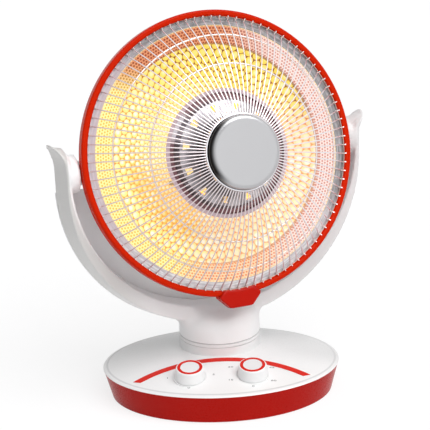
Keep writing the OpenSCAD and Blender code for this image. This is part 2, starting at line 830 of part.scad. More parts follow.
module rear_housing() {
  color(white) head_frame() difference() {
    union() {
      rotate_extrude($fn = 240) difference() {
        union() {
          intersection() {
            translate([0, housing_zc]) circle(r = housing_s, $fn = 720);
            translate([0, housing_back]) square([housing_r, housing_drop + over]);
          }
          translate([0, housing_seat]) square([reflector_r, housing_flange]);
        }
        intersection() {
          translate([0, housing_zc]) circle(r = housing_s - housing_t, $fn = 720);
          translate([0, housing_back + housing_t]) square([housing_r - housing_t, 200]);
        }
      }
    }
    for (i = [0:vent_n - 1]) rotate([0, 0, (i + 0.5) * 360 / vent_n]) {
      translate([vent_in_r, -vent_w / 2, housing_back - 10]) cube([vent_out_r - vent_in_r, vent_w, 60]);
    }
    translate([0, 0, housing_back - over]) cylinder(r = 8, h = 10);
    for (a = screw_turns) rotate([0, 0, a]) translate([screw_ring_r, 0, housing_back - over])
      cylinder(r = screw_r + seat, h = 10);
  }
}

module terminal_cover() {
  h = terminal_h;
  r = terminal_r;
  color(white) head_frame() translate([0, 0, housing_back - seat - h]) difference() {
    union() {
      difference() {
        union() {
          translate([0, 0, 4]) cylinder(r = r, h = h - 4);
          cylinder(r1 = r - 4, r2 = r, h = 4);
        }
        translate([0, 0, wall]) cylinder(r = r - wall - 2, h = h);
      }
      for (a = screw_turns) rotate([0, 0, a]) translate([screw_ring_r, 0, 1]) cylinder(r = post_r, h = h - 1);
    }
    for (a = screw_turns) rotate([0, 0, a]) translate([screw_ring_r, 0, -over]) {
      cylinder(r = screw_r + seat, h = h + 2 * over);
      cylinder(r = screw_head_r + seat, h = over + screw_head_h);
    }
  }
}

module terminal_screws() {
  color(steel) head_frame() for (a = screw_turns) rotate([0, 0, a])
    translate([screw_ring_r, 0, housing_back - seat - terminal_h + screw_head_h - seat]) screw(terminal_h);
}

module thermal_cutout() {
  r = 8;
  place = 50;
  top = bowl_at(place - r) - 1.2 * sheet - seat;
  color(dark) head_frame() translate([place, 0, top - 6]) cylinder(r = r, h = 6);
}

module grille_wires() {
  color(chrome) head_frame() for (i = [0:wire_n - 1]) rotate([0, 0, i * 360 / wire_n])
    translate([0, 0, grille_zc]) rotate([90, 0, 0]) rotate([0, 0, 90 - wire_end_a])
      rotate_extrude(angle = wire_end_a - wire_start_a) translate([grille_s, 0]) circle(d = wire_d, $fn = 16);
}

module hoop_wire(r, z) {
  rotate_extrude($fn = 180) translate([r, z]) circle(d = hoop_wire_d, $fn = 24);
}

module grille_rings() {
  color(chrome) head_frame() {
    for (r = [ring_in_r, ring_out_r])
      hoop_wire(r * ring_s / grille_s, grille_zc + sqrt(pow(ring_s, 2) - pow(r * ring_s / grille_s, 2)));
    hoop_wire(wire_base_r + 2.6, hoop_wire_d / 2 + seat);
  }
}

module cap_bezel() {
  h = 5;
  color(chrome) head_frame() rotate_extrude() {
    translate([bezel_in_r, grille_h - h]) square([bezel_r - bezel_in_r, h]);
    translate([(bezel_r + bezel_in_r) / 2, grille_h]) circle(r = (bezel_r - bezel_in_r) / 2);
  }
}

module grille_cap() {
  r = bezel_in_r - seat;
  round = 5.5;
  low = 5;
  color(steel) head_frame() rotate_extrude() {
    translate([0, grille_h - low]) square([r, low + cap_h - round]);
    translate([0, grille_h - low]) square([r - round, low + cap_h]);
    translate([r - round, grille_h + cap_h - round]) circle(r = round);
  }
}

module window_cut() {
  translate([window_r, 0, guard_z]) linear_extrude(height = 60) polygon([
    [-window_size / 2, -window_size * 0.3], [window_size / 2, -window_size * 0.55],
    [window_size / 2, window_size * 0.55], [-window_size / 2, window_size * 0.3]]);
}

module element_guard() {
  t = 1;
  face_r = guard_r - 15;
  crown_r = bezel_r - 2;
  face_z = guard_z + 7;
  crown_z = guard_z + guard_rise;
  outline = [[guard_r, guard_z], [guard_r - 5, guard_z], [guard_r - 6, guard_z - 4], [guard_r - 11, guard_z - 4],
    [face_r + 1, face_z - 3], [face_r, face_z], [crown_r, crown_z], [0, crown_z]];
  back = [for (i = [len(outline) - 1:-1:0]) outline[i] - [0, t]];
  color(chrome) head_frame() difference() {
    rotate_extrude($fn = 180) polygon(concat(outline, back));
    for (i = [0:window_n - 1]) rotate([0, 0, (i + 0.5) * 360 / window_n]) window_cut();
  }
}

module tube_arc(r_out, r_in, a0, sweep) {
  rotate([0, 0, a0]) rotate_extrude(angle = sweep) translate([tube_ring_r, tube_z]) difference() {
    circle(r = r_out, $fn = 32);
    if (r_in > 0) circle(r = r_in, $fn = 32);
  }
}

module guard_post() {
  collar_r = bowl_hole_r + 4;
  low = housing_back + housing_t + seat;
  color(steel) head_frame() {
    translate([0, 0, low]) ring(post_out_r, post_out_r - 2, guard_z + guard_rise - 1 - seat - low);
    translate([0, 0, bowl_floor - sheet - seat - 2]) ring(collar_r, post_out_r - 1, 2);
  }
}

module heating_tube() {
  color("lightyellow") head_frame() tube_arc(tube_d / 2, tube_d / 2 - glass_t, -90 + tube_gap_a, 360 - 2 * tube_gap_a);
}

module filament() {
  color(dark) head_frame() tube_arc(filament_d / 2, 0, -90 + tube_gap_a, 360 - 2 * tube_gap_a);
}

module tube_ends() {
  cap_a = 8;
  foot_z = bowl_at(tube_ring_r + 3.5) + seat;
  color("linen") head_frame() for (s = [-1, 1]) {
    tube_arc(tube_d / 2, 0, -90 + s * tube_gap_a - (s > 0 ? cap_a + 0.1 : -0.1), cap_a);
    rotate([0, 0, -90 + s * (tube_gap_a - cap_a / 2)]) translate([tube_ring_r, 0, foot_z])
      cylinder(r = 3.5, h = tube_z - foot_z);
  }
}

module element_clips() {
  foot_z = bowl_at(tube_ring_r + 3) + seat;
  color(steel) head_frame() for (a = [30, 150, 270]) rotate([0, 0, a + 180]) translate([tube_ring_r, 0, foot_z])
    cylinder(r = 3, h = tube_z - tube_d / 2 - seat - foot_z);
}

module switch_block() {
  under = -panel_t - 3 * seat;
  difference() {
    union() {
      translate([-switch_body[0] / 2, -switch_body[1] / 2, under - switch_body[2]]) cube(switch_body);
      translate([0, 0, under - over]) cylinder(r = switch_neck_r, h = -under + over + knob_low + nut_h);
    }
    translate([0, 0, under - switch_body[2] + 4]) cylinder(r = knob_shaft_r + run_fit, h = 60);
  }
}

module power_switch() {
  color(dark) knob_frame(-1) switch_block();
}

module timer_switch() {
  color(dark) knob_frame(1) switch_block();
}

module switch_nuts() {
  color(steel) for (s = [-1, 1]) knob_frame(s) translate([0, 0, seat]) difference() {
    cylinder(r = nut_r, h = nut_h, $fn = 6);
    translate([0, 0, -over]) cylinder(r = switch_neck_r + seat, h = nut_h + 2 * over);
  }
}

module knob_body() {
  foot_r = knob_d / 2;
  top_r = ring_d / 2 + 1.8;
  lip = 1.6;
  color(white) difference() {
    rotate_extrude() {
      polygon([[0, knob_low], [foot_r, knob_low], [top_r, knob_h - lip], [top_r - lip, knob_h], [0, knob_h]]);
      translate([top_r - lip, knob_h - lip]) circle(r = lip);
    }
    translate([0, 0, knob_low - over]) ring(foot_r - wall - 1, 5.5, knob_h - 4);
    translate([0, 0, knob_low - over]) cylinder(r = nut_r + 1, h = nut_h + 2);
    translate([0, 0, -over]) cylinder(r = knob_shaft_r + seat / 2, h = knob_h - 3);
    translate([0, 0, knob_h - inlay]) cylinder(r = ring_d / 2 + seat / 2, h = 3);
  }
}

module knob_ring() {
  color(red) translate([0, 0, knob_h - inlay + seat]) ring(ring_d / 2, ring_d / 2 - ring_w, inlay + 0.1);
}

module knob_cap() {
  color(white) translate([0, 0, knob_h - inlay + seat]) cylinder(r = ring_d / 2 - ring_w - seat, h = inlay);
}

module knob_shaft() {
  under = -panel_t - 3 * seat;
  color(steel) translate([0, 0, under - switch_body[2] + 4 + clear])
    cylinder(r = knob_shaft_r, h = knob_h - 4 - seat - under + switch_body[2] - 4 - clear);
}

module power_knob() {
  knob_frame(-1) knob_body();
}

module power_knob_ring() {
  knob_frame(-1) knob_ring();
}

module power_knob_cap() {
  knob_frame(-1) knob_cap();
}

module power_shaft() {
  knob_frame(-1) knob_shaft();
}

module timer_knob() {
  knob_frame(1) knob_body();
}

module timer_knob_ring() {
  knob_frame(1) knob_ring();
}

module timer_knob_cap() {
  knob_frame(1) knob_cap();
}

module timer_shaft() {
  knob_frame(1) knob_shaft();
}

module tip_switch() {
  color(dark) translate([tip_place[0], tip_place[1], floor_top + seat]) difference() {
    translate([-tip_body[0] / 2, -tip_body[1] / 2, 0]) cube(tip_body);
    translate([0, 0, -over]) cylinder(r = plunger_r + run_fit, h = 12 + over);
  }
}

module tip_plunger() {
  color(dark) translate([tip_place[0], tip_place[1], 0]) {
    cylinder(r = plunger_foot_r, h = foot_proud - 2 * seat);
    cylinder(r = plunger_r, h = floor_top + 11);
  }
}

module terminal_block() {
  size = [34, 16, 14];
  color(white) translate([30, 30, floor_top + seat]) cube(size);
}

module cord_gland() {
  inside = gland_wall + 3;
  color(dark) translate([0, gland_y, gland_z]) rotate([-90, 0, 0]) difference() {
    union() {
      translate([0, 0, seat]) cylinder(r1 = gland_flange_r, r2 = gland_flange_r - 1.5, h = 4);
      translate([0, 0, -inside]) cylinder(r = gland_neck_r, h = inside + 2);
      translate([0, 0, -inside]) cylinder(r = gland_flange_r, h = inside - gland_wall - seat);
    }
    translate([0, 0, -inside - over]) cylinder(r = gland_bore_r, h = inside + 4 + 2 * over + seat);
  }
}

base_pan();
base_feet();
pan_screws();
ballast_weights();
top_cover();
accent_stripe();
swivel_bush();
swing_motor();
power_switch();
timer_switch();
switch_nuts();
tip_switch();
tip_plunger();
terminal_block();
cord_gland();
swing_crank();
swing_link();
swing_arm();
swivel_plate();
slip_washer();
swivel_spindle();
retaining_clip();
yoke_shell();
yoke_rear_cover();
yoke_screws();
pivot_pins();
pivot_washers();
rim_ring();
rim_clasp();
clasp_screw();
reflector();
rear_housing();
pivot_hubs();
terminal_screws();
terminal_cover();
thermal_cutout();
grille_wires();
grille_rings();
cap_bezel();
grille_cap();
element_guard();
guard_post();
heating_tube();
filament();
tube_ends();
element_clips();
power_knob();
power_knob_ring();
power_knob_cap();
power_shaft();
timer_knob();
timer_knob_ring();
timer_knob_cap();
timer_shaft();
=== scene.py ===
import bpy
import math
import numpy as np
from mathutils import Matrix, Vector

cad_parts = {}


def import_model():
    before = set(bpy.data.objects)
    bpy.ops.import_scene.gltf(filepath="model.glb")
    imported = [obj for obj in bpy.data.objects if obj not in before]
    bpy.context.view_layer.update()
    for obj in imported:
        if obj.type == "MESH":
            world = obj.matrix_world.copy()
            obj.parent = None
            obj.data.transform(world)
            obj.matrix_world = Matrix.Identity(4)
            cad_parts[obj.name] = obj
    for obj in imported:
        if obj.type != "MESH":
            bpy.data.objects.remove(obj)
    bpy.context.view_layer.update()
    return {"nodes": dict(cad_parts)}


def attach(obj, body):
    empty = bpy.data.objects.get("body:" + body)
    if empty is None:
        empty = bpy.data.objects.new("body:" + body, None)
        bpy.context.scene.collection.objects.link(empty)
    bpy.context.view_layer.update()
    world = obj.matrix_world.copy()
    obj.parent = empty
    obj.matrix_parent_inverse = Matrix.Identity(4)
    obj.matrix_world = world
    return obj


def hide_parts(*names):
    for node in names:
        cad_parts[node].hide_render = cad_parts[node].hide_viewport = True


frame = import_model()

MM = 0.001
TAU = 2 * math.pi

# Sizes of the solids, as the part's source gives them or works them out, in millimetres and degrees
SWIVEL_REST = 21.0
TILT_REST = 14.5
PIVOT_Z = 311.5
RIM_AHEAD = 25.0
KNOB_X = 39.5
KNOB_Y = 98.35
BASE_A = 154.0
BASE_B = 116.75
BASE_AHEAD = 25.0
NECK_SEAM = 71.3
ARM_IN_X = 192.4
ARM_T = 5.2
ARM_T_MORE = 7.5

RIM_R = 180.0
RIM_IN_R = 172.0
RIM_FRONT = 7.0
CLASP_W = 55.0
CLASP_FOOT = 28.0
CLASP_H = 14.5
WIRE_COUNT = 96
WIRE_BASE_R = 170.2
WIRE_BASE_Z = 2.0

REFLECTOR_R = 176.7
FLANGE_IN_R = 161.2
BOWL_R = 140.2
BAND_DROP = 3.0
BOWL_STEP = 8.0
BOWL_DEPTH = 46.0
BOWL_HOLE_R = 20.0
SHEET = 0.8
GUARD_R = 80.5
CAP_R = 46.0

YOKE = Matrix.Rotation(math.radians(SWIVEL_REST), 4, "Z")
HEAD = (YOKE @ Matrix.Translation((0, 0, PIVOT_Z * MM)) @ Matrix.Rotation(math.radians(-TILT_REST), 4, "X")
        @ Matrix.Translation((0, -RIM_AHEAD * MM, 0)) @ Matrix.Rotation(math.radians(90), 4, "X"))


# ---------------------------------------------------------------- camera
TARGET = Vector((0.36, 0, 230.13)) * MM
DISTANCE = 1942.1 * MM
ELEVATION = math.radians(17.37)
ROLL = math.radians(2.46)
LENS = 126.28


def make_camera():
    """The photograph's view, fitted to the outlines of the rim, cap, guard, neck and base."""
    back = Vector((0, -math.cos(ELEVATION), math.sin(ELEVATION)))
    right = Vector((1, 0, 0))
    up = back.cross(right)
    x = right * math.cos(ROLL) - up * math.sin(ROLL)
    y = right * math.sin(ROLL) + up * math.cos(ROLL)
    place = TARGET + back * DISTANCE
    m = Matrix((x, y, back)).transposed().to_4x4()
    m.translation = place
    data = bpy.data.cameras.new("camera")
    data.lens = LENS
    data.sensor_width = 36
    data.clip_end = 50
    camera = bpy.data.objects.new("camera", data)
    bpy.context.scene.collection.objects.link(camera)
    camera.matrix_world = m
    bpy.context.scene.camera = camera


make_camera()


# ---------------------------------------------------------------- colours and nodes
def lin(rgb):
    """sRGB 0-255 to a linear RGBA colour."""
    out = []
    for c in rgb:
        c /= 255
        out.append(c / 12.92 if c <= 0.04045 else ((c + 0.055) / 1.055) ** 2.4)
    return (*out, 1.0)


class Nodes:
    """Short calls for building a node tree."""

    def __init__(self, name):
        self.mat = bpy.data.materials.new(name)
        self.mat.use_nodes = True
        self.tree = self.mat.node_tree
        self.tree.nodes.clear()
        self.out = self.tree.nodes.new("ShaderNodeOutputMaterial")

    def put(self, socket, value):
        if isinstance(value, bpy.types.NodeSocket):
            self.tree.links.new(value, socket)
        else:
            socket.default_value = value

    def node(self, kind, props=None, **inputs):
        n = self.tree.nodes.new("ShaderNode" + kind)
        for k, v in (props or {}).items():
            setattr(n, k, v)
        for k, v in inputs.items():
            self.put(n.inputs[k.replace("_", " ")], v)
        return n

    def math(self, op, a, b=0.0, c=None):
        n = self.tree.nodes.new("ShaderNodeMath")
        n.operation = op
        self.put(n.inputs[0], a)
        self.put(n.inputs[1], b)
        if c is not None:
            self.put(n.inputs[2], c)
        return n.outputs[0]

    def length(self, a, b):
        """Length of the vector with the sides a and b."""
        squares = self.math("ADD", self.math("MULTIPLY", a, a), self.math("MULTIPLY", b, b))
        return self.math("SQRT", squares)

    def mix(self, fac, a, b):
        n = self.tree.nodes.new("ShaderNodeMix")
        n.data_type = "RGBA"
        self.put(n.inputs[0], fac)
        self.put(n.inputs[6], a)
        self.put(n.inputs[7], b)
        return n.outputs[2]

    def step(self, x, lo, hi):
        n = self.tree.nodes.new("ShaderNodeMapRange")
        n.interpolation_type = "SMOOTHSTEP"
        self.put(n.inputs[0], x)
        self.put(n.inputs[1], lo)
        self.put(n.inputs[2], hi)
        return n.outputs[0]

    def xyz(self, matrix=None):
        """Object coordinates, in the given frame, split in three (metres)."""
        co = self.node("TexCoord").outputs["Object"]
        if matrix is not None:
            inv = matrix.inverted()
            parts = []
            sep = self.node("SeparateXYZ", Vector=co)
            for r in range(3):
                v = self.math("MULTIPLY", sep.outputs[0], inv[r][0])
                v = self.math("MULTIPLY_ADD", sep.outputs[1], inv[r][1], v)
                v = self.math("MULTIPLY_ADD", sep.outputs[2], inv[r][2], v)
                parts.append(self.math("ADD", v, inv[r][3]))
            return parts
        sep = self.node("SeparateXYZ", Vector=co)
        return list(sep.outputs)

    def vector(self, x, y, z):
        n = self.tree.nodes.new("ShaderNodeCombineXYZ")
        for i, v in enumerate((x, y, z)):
            self.put(n.inputs[i], v)
        return n.outputs[0]

    def noise(self, scale, detail=2.0, vector=None):
        n = self.node("TexNoise", Scale=scale, Detail=detail)
        self.put(n.inputs["Vector"], vector if vector is not None else self.node("TexCoord").outputs["Object"])
        return n.outputs["Fac"]

    def bump(self, height, strength, distance):
        return self.node("Bump", Height=height, Strength=strength, Distance=distance).outputs["Normal"]

    def bsdf(self, **inputs):
        n = self.node("BsdfPrincipled", **inputs)
        self.tree.links.new(n.outputs[0], self.out.inputs[0])
        return n


def plastic(name, rgb, rough=0.35, grain=0.0004, coat=0.0, dark=None, gloss=0.4):
    """Moulded plastic: slight mottling of colour and a fine orange-peel bump."""
    n = Nodes(name)
    fine = n.noise(900.0, 3.0)
    broad = n.noise(14.0, 2.0)
    colour = n.mix(n.math("MULTIPLY", broad, 0.25), lin(rgb), lin(dark or [c * 0.93 for c in rgb]))
    rough_v = n.math("MULTIPLY_ADD", fine, 0.10, rough - 0.05)
    n.bsdf(Base_Color=colour, Roughness=rough_v, Coat_Weight=coat, Coat_Roughness=0.08, Specular_IOR_Level=gloss,
           Normal=n.bump(fine, 0.12, grain))
    return n.mat


def metal(name, rgb, rough=0.25, scratch=220.0):
    """Bare or plated metal with fine drawn scratches."""
    n = Nodes(name)
    x, y, z = n.xyz()
    streak = n.noise(1.0, 3.0, n.vector(n.math("MULTIPLY", x, scratch), n.math("MULTIPLY", y, scratch),
                                        n.math("MULTIPLY", z, scratch * 8)))
    rough_v = n.math("MULTIPLY_ADD", streak, 0.12, rough - 0.06)
    n.bsdf(Base_Color=lin(rgb), Metallic=1.0, Roughness=rough_v, Normal=n.bump(streak, 0.06, 0.0002))
    return n.mat


WHITE = plastic("white_shell", (238, 238, 238), 0.30, dark=(234, 234, 235))
WHITE_PART = plastic("white_part", (230, 230, 231), 0.40)
SKIRT = plastic("red_skirt", (176, 16, 4), 0.28, dark=(158, 12, 2), gloss=0.10)
RIM = plastic("rim_red", (202, 34, 0), 0.26, dark=(192, 28, 0), gloss=0.06)
REAR = plastic("rear_white", (250, 251, 255), 0.30, dark=(246, 247, 250))
CLASP = plastic("clasp_red", (184, 18, 2), 0.30, gloss=0.12)
TRIM = plastic("red_trim", (212, 34, 20), 0.35, gloss=0.12)
STEEL = metal("steel_part", (170, 170, 172), 0.35)
CHROME = metal("bezel_chrome", (232, 230, 234), 0.12)
DARK = plastic("dark_plastic", (34, 34, 36), 0.55)
RUBBER = plastic("rubber_foot", (26, 26, 26), 0.8, grain=0.001)
IRON = plastic("ballast_iron", (60, 58, 56), 0.7, grain=0.002)
CERAMIC = plastic("ceramic", (232, 226, 212), 0.7)


def cover_plastic():
    """White cover: a raised lip along its edge, set off by a shallow groove with painted shade in it, and
    painted shade towards its back right.
    """
    n = Nodes("white_cover")
    x, y, _ = n.xyz()
    px = n.math("MULTIPLY", x, 1 / (BASE_A * MM))
    py = n.math("MULTIPLY", n.math("ADD", y, BASE_AHEAD * MM), 1 / (BASE_B * MM))
    q = n.length(px, py)
    gx = n.math("DIVIDE", px, BASE_A)
    gy = n.math("DIVIDE", py, BASE_B)
    slope = n.length(gx, gy)
    inset = n.math("DIVIDE", n.math("MULTIPLY", n.math("SUBTRACT", 1.0, q), q), slope)
    groove = n.math("MULTIPLY", n.step(inset, 3.4, 4.6), n.step(inset, 7.2, 5.4))
    fine = n.noise(900.0, 3.0)
    # painted shade: the cover darker towards its back right, where it slopes from the lamps
    painted_shade_back_right = n.math("MULTIPLY", n.step(x, 0.02, 0.11), n.step(y, -0.075, -0.02))
    colour = n.mix(painted_shade_back_right, lin((236, 236, 236)), lin((218, 218, 218)))
    # painted shade: the groove darker than the rest of the cover
    colour = n.mix(n.math("MULTIPLY", groove, 0.8), colour, lin((204, 204, 205)))
    height = n.math("MULTIPLY_ADD", groove, -3.0, fine)
    n.bsdf(Base_Color=colour, Roughness=n.math("MULTIPLY_ADD", fine, 0.10, 0.24), Specular_IOR_Level=0.4,
           Normal=n.bump(height, 0.12, 0.0004))
    return n.mat


def yoke_plastic():
    """White yoke with the parting line of the ring under its neck, with painted shade towards its right and on
    the outer face of the left arm.
    """
    n = Nodes("white_yoke")
    x, y, z = n.xyz()
    off = n.math("ABSOLUTE", n.math("SUBTRACT", z, (NECK_SEAM + 0.9) * MM))
    line = n.step(off, 0.9 * MM, 0.3 * MM)
    # painted shade on the outer face of the left arm, which the lamps reach least
    turn = math.radians(SWIVEL_REST)
    along = n.math("MULTIPLY_ADD", y, math.sin(turn), n.math("MULTIPLY", x, math.cos(turn)))
    drop = n.math("MINIMUM", n.math("SUBTRACT", z, PIVOT_Z * MM), 0.0)
    reach = n.length(along, drop)
    outside = n.step(reach, (ARM_IN_X + 2.5) * MM, (ARM_IN_X + 4.5) * MM)
    left_arm_painted_shade = n.math("MULTIPLY", outside, n.step(along, -0.09, -0.15))
    fine = n.noise(900.0, 3.0)
    broad = n.noise(14.0, 2.0)
    colour = n.mix(n.math("MULTIPLY", broad, 0.25), lin((247, 247, 247)), lin((243, 243, 244)))
    # painted shade: the yoke greyer towards its right side
    colour = n.mix(n.step(along, 0.02, 0.14), colour, lin((224, 222, 222)))
    colour = n.mix(left_arm_painted_shade, colour, lin((214, 213, 211)))
    colour = n.mix(n.math("MULTIPLY", line, 0.6), colour, lin((150, 150, 152)))
    n.bsdf(Base_Color=colour, Roughness=n.math("MULTIPLY_ADD", fine, 0.10, 0.25), Specular_IOR_Level=0.4,
           Normal=n.bump(fine, 0.12, 0.0004))
    return n.mat


COVER = cover_plastic()
YOKE_WHITE = yoke_plastic()


def cap_metal():
    """Satin disc, finely turned, with a painted dark reflection on its rolled edge on one side."""
    n = Nodes("cap_metal")
    x, y, _ = n.xyz(HEAD)
    r = n.length(x, y)
    turn = n.noise(1.0, 3.0, n.vector(n.math("MULTIPLY", r, 2600.0), 0.0, 0.0))
    # painted reflection: the rolled edge dark on its left side
    lean = n.math("DIVIDE", n.math("MULTIPLY_ADD", y, -0.18, x), r)
    side = n.step(lean, -0.35, -0.85)
    roll = n.step(r, (CAP_R - 9.0) * MM, (CAP_R - 1.5) * MM)
    shade = n.math("MULTIPLY", side, roll)
    n.bsdf(Base_Color=n.mix(shade, lin((184, 184, 186)), lin((26, 25, 26))), Metallic=0.85,
           Roughness=n.math("MULTIPLY_ADD", turn, 0.08, 0.30), Specular_IOR_Level=0.1,
           Normal=n.bump(turn, 0.03, 0.0001))
    return n.mat


CAP = cap_metal()


def wire_metal(name, low, high):
    """Plated wire with painted light: brighter on the lit side, greyer where the dish lights it from behind."""
    n = Nodes(name)
    x, y, _ = n.xyz(HEAD)
    lit = n.step(n.math("MULTIPLY_ADD", y, 0.6, x), -0.10, 0.06)
    fine = n.noise(700.0, 2.0)
    n.bsdf(Base_Color=n.mix(lit, lin(low), lin(high)), Metallic=0.9,
           Roughness=n.math("MULTIPLY_ADD", fine, 0.12, 0.24), Normal=n.bump(fine, 0.08, 0.0001))
    return n.mat


# the two tones are painted: the darker for the wires' unlit side, the lighter for their lit side
WIRE = wire_metal("chrome_wire", (214, 204, 208), (240, 237, 240))
RING = wire_metal("ring_wire", (222, 208, 196), (226, 216, 216))


def glass():
    """Quartz tube, tinted by the heat inside."""
    n = Nodes("tube_glass")
    n.bsdf(Base_Color=lin((255, 214, 150)), Roughness=0.08, Transmission_Weight=0.6, IOR=1.45,
           Emission_Color=lin((255, 180, 90)), Emission_Strength=0.8)
    return n.mat


def glow():
    """Woven carbon filament, hot."""
    n = Nodes("filament_glow")
    x, y, _ = n.xyz(HEAD)
    a = n.math("ARCTAN2", y, x)
    weave = n.math("SINE", n.math("MULTIPLY", a, 180.0))
    n.bsdf(Base_Color=lin((60, 30, 20)), Roughness=0.7, Emission_Color=lin((255, 150, 60)),
           Emission_Strength=n.math("MULTIPLY_ADD", weave, 0.4, 3.0))
    return n.mat


# ---------------------------------------------------------------- meshes
def add(name, verts, faces, matrix, mat, body, smooth=30.0):
    """A new piece from vertices given in the matrix's frame, in metres."""
    turn = np.array(matrix)
    placed = np.array(verts, float) @ turn[:3, :3].T + turn[:3, 3]
    mesh = bpy.data.meshes.new(name)
    mesh.from_pydata(placed.tolist(), [], faces)
    mesh.update()
    mesh.polygons.foreach_set("use_smooth", [True] * len(mesh.polygons))
    mesh.set_sharp_from_angle(angle=math.radians(smooth))
    ob = bpy.data.objects.new(name, mesh)
    bpy.context.scene.collection.objects.link(ob)
    mesh.materials.append(mat)
    bpy.context.view_layer.update()
    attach(ob, body)
    return ob


def bowl_z(r):
    """Height of the bowl's inner surface in millimetres."""
    low = -BAND_DROP - BOWL_STEP - BOWL_DEPTH
    k = (BOWL_R ** 2 - BOWL_HOLE_R ** 2 + BOWL_DEPTH ** 2) / (2 * BOWL_DEPTH)
    s = math.hypot(k, BOWL_HOLE_R)
    return low + k - np.sqrt(s * s - np.asarray(r, float) ** 2)


# Honeycomb of the bowl in the log-polar plane, where every cell is the same size, and the band of dots round it
CELLS = 75
ROW = TAU / CELLS * math.sqrt(3) / 2
CELL_TOP = 138.0
CELL_SPAN = 10
ROW_SPAN = 8
RELIEF = 0.55
RELIEF_FROM = 24.0
RELIEF_FADE = 20.0
BAND_DOTS = 236
BAND_PITCH = 3.5


def cell_distance(r, a):
    """Distance to the nearest cell centre over half the pitch, in the log-polar plane."""
    u = a * CELLS / TAU
    v = np.log(CELL_TOP / r) / ROW
    best = np.full(np.broadcast(u, v).shape, 9.0)
    base = np.floor(v)
    for dj in (0, 1):
        j = base + dj
        off = np.mod(j, 2) * 0.5
        du = u - off
        du = du - np.round(du)
        d = np.hypot(du, (v - j) * math.sqrt(3) / 2)
        best = np.minimum(best, d)
    return best / 0.5


def honeycomb_tone(n, x, y, r, a):
    """Painted glow of the cells, with painted shade on the creases between them and painted highlights, by the
    place on the dish.
    """
    drift = n.math("MULTIPLY_ADD", n.noise(16.0, 2.0), 0.10, -0.05)
    xs = n.math("ADD", x, drift)
    ys = n.math("SUBTRACT", y, drift)
    # sides of the dish, in metres from its middle, where the painted glow changes colour
    right = n.step(xs, 0.0, 0.11)
    top = n.step(n.math("MULTIPLY_ADD", xs, 0.25, ys), 0.035, 0.12)
    low_right = n.step(n.math("SUBTRACT", n.math("MULTIPLY", xs, 0.8), ys), 0.05, 0.12)
    low_left = n.math("MULTIPLY", n.step(n.math("ADD", n.math("MULTIPLY", xs, 0.6), ys), -0.02, -0.08),
                      n.step(r, 128.0, 96.0))
    # painted glow inside the cells, and painted shade on the creases between them
    fill = n.mix(right, lin((255, 241, 150)), lin((255, 214, 158)))
    fill = n.mix(top, fill, lin((255, 228, 104)))
    fill = n.mix(low_left, fill, lin((255, 206, 98)))
    fill = n.mix(low_right, fill, lin((255, 226, 176)))
    edge = n.mix(right, lin((222, 150, 76)), lin((206, 132, 116)))
    edge = n.mix(top, edge, lin((132, 66, 48)))
    edge = n.mix(low_right, edge, lin((230, 156, 104)))
    shine = n.mix(top, lin((255, 255, 238)), lin((255, 246, 176)))
    u = n.math("MULTIPLY", a, CELLS / TAU)
    v = n.math("DIVIDE", n.math("LOGARITHM", n.math("DIVIDE", CELL_TOP, r), math.e), ROW)
    # distance to the nearest cell centre, and to the painted highlight beside it, over the two rows around
    best = None
    spot = None
    base = n.math("FLOOR", v)
    for dj in (0.0, 1.0):
        j = n.math("ADD", base, dj)
        off = n.math("MULTIPLY", n.math("FLOORED_MODULO", j, 2.0), 0.5)
        du = n.math("SUBTRACT", u, off)
        du = n.math("SUBTRACT", du, n.math("ROUND", du))
        dv = n.math("MULTIPLY", n.math("SUBTRACT", v, j), math.sqrt(3) / 2)
        d = n.length(du, dv)
        hu = n.math("ADD", du, 0.10)
        hv = n.math("ADD", dv, 0.10)
        h = n.length(hu, hv)
        best = d if best is None else n.math("MINIMUM", best, d)
        spot = h if spot is None else n.math("MINIMUM", spot, h)
    painted_crease_shade = n.math("MULTIPLY", n.step(best, 0.41, 0.53), 0.95)
    patch = n.step(n.noise(34.0, 3.0), 0.40, 0.62)
    # painted highlight, patchy, in each cell
    lit = n.math("MULTIPLY", n.step(spot, 0.42, 0.14), n.math("MULTIPLY_ADD", patch, 0.65, 0.35))
    cells = n.mix(painted_crease_shade, n.mix(lit, fill, shine), edge)
    # painted reflection: the cells washed out towards the middle of the dish
    painted_haze = n.step(r, 62.0, 112.0)
    soft = n.mix(0.30, cells, n.mix(0.5, fill, shine))
    return n.mix(painted_haze, soft, cells), edge


def band_tone(n, x, y, r, a):
    """Colours of the band of small dots round the honeycomb, with painted glow and painted shade that change by
    side.
    """
    bu = n.math("MULTIPLY", a, BAND_DOTS / TAU)
    bv = n.math("DIVIDE", r, BAND_PITCH)
    bj = n.math("ROUND", bv)
    bu = n.math("ADD", bu, n.math("MULTIPLY", n.math("FLOORED_MODULO", bj, 2.0), 0.5))
    bu = n.math("SUBTRACT", bu, n.math("ROUND", bu))
    bw = n.math("SUBTRACT", bv, bj)
    bd = n.length(bu, bw)
    dot = n.step(bd, 0.46, 0.24)
    # painted light: the band's tone changes by side, darkest at the top
    b_right = n.step(x, 0.02, 0.11)
    b_top = n.step(n.math("MULTIPLY_ADD", x, 0.15, y), 0.06, 0.115)
    b_low = n.step(n.math("SUBTRACT", n.math("MULTIPLY", x, 0.6), y), 0.07, 0.13)
    ground = n.mix(b_low, lin((255, 243, 170)), lin((252, 212, 172)))
    ground = n.mix(b_top, ground, lin((218, 146, 106)))
    ground = n.mix(b_right, ground, lin((242, 222, 216)))
    dots = n.mix(b_low, lin((238, 196, 92)), lin((224, 146, 104)))
    dots = n.mix(b_top, dots, lin((150, 72, 48)))
    dots = n.mix(b_right, dots, lin((204, 148, 138)))
    return n.mix(dot, ground, dots)


